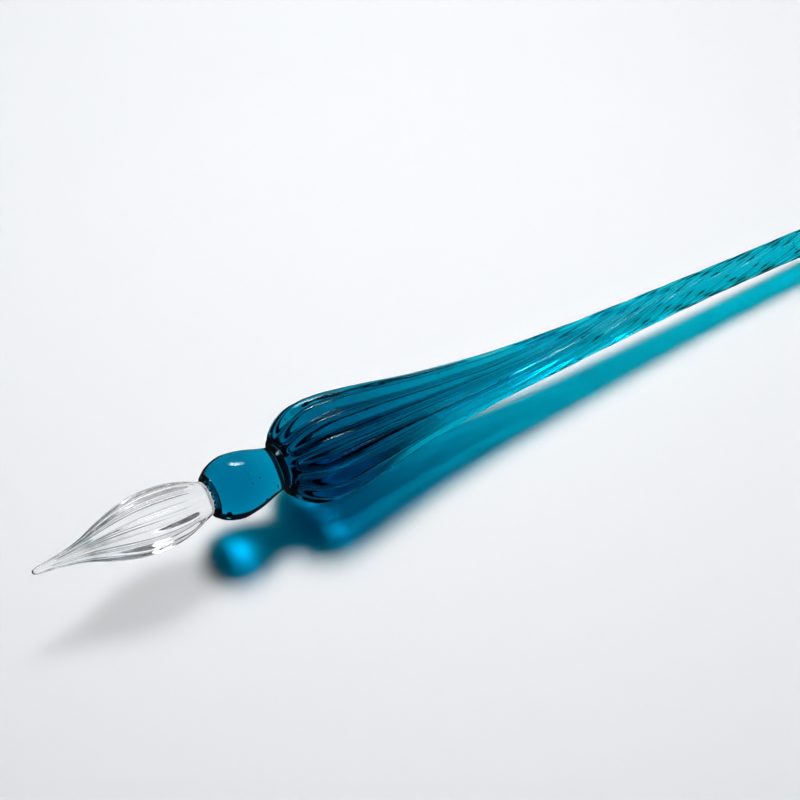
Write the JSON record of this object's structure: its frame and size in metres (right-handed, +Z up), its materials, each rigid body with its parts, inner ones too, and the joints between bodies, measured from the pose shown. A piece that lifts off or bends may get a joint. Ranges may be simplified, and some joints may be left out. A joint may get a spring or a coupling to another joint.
{
  "type": "glass dip pen",
  "caption": "Glass dip pen: clear fluted nib welded to a plain turquoise bulb and a ribbed turquoise grip that tapers into a twisted shaft.",
  "frame": {"origin": "middle of the bounding box, on the surface that the pen lies on", "axes": "+X along the pen, from the nib's tip to the end of the shaft; +Z up; the pen lies on its grip and on the end of its shaft, with the nib in the air"},
  "size_m": [0.1758, 0.0154, 0.015],
  "materials": {
    "clear_glass": "clear, fire-polished",
    "turquoise_glass": "transparent turquoise, fire-polished"
  },
  "bodies": {
    "root": {"nib": "clear_glass", "weld_collar": "turquoise_glass", "neck_bulb": "turquoise_glass", "body": "turquoise_glass"}
  },
  "joints": []
}
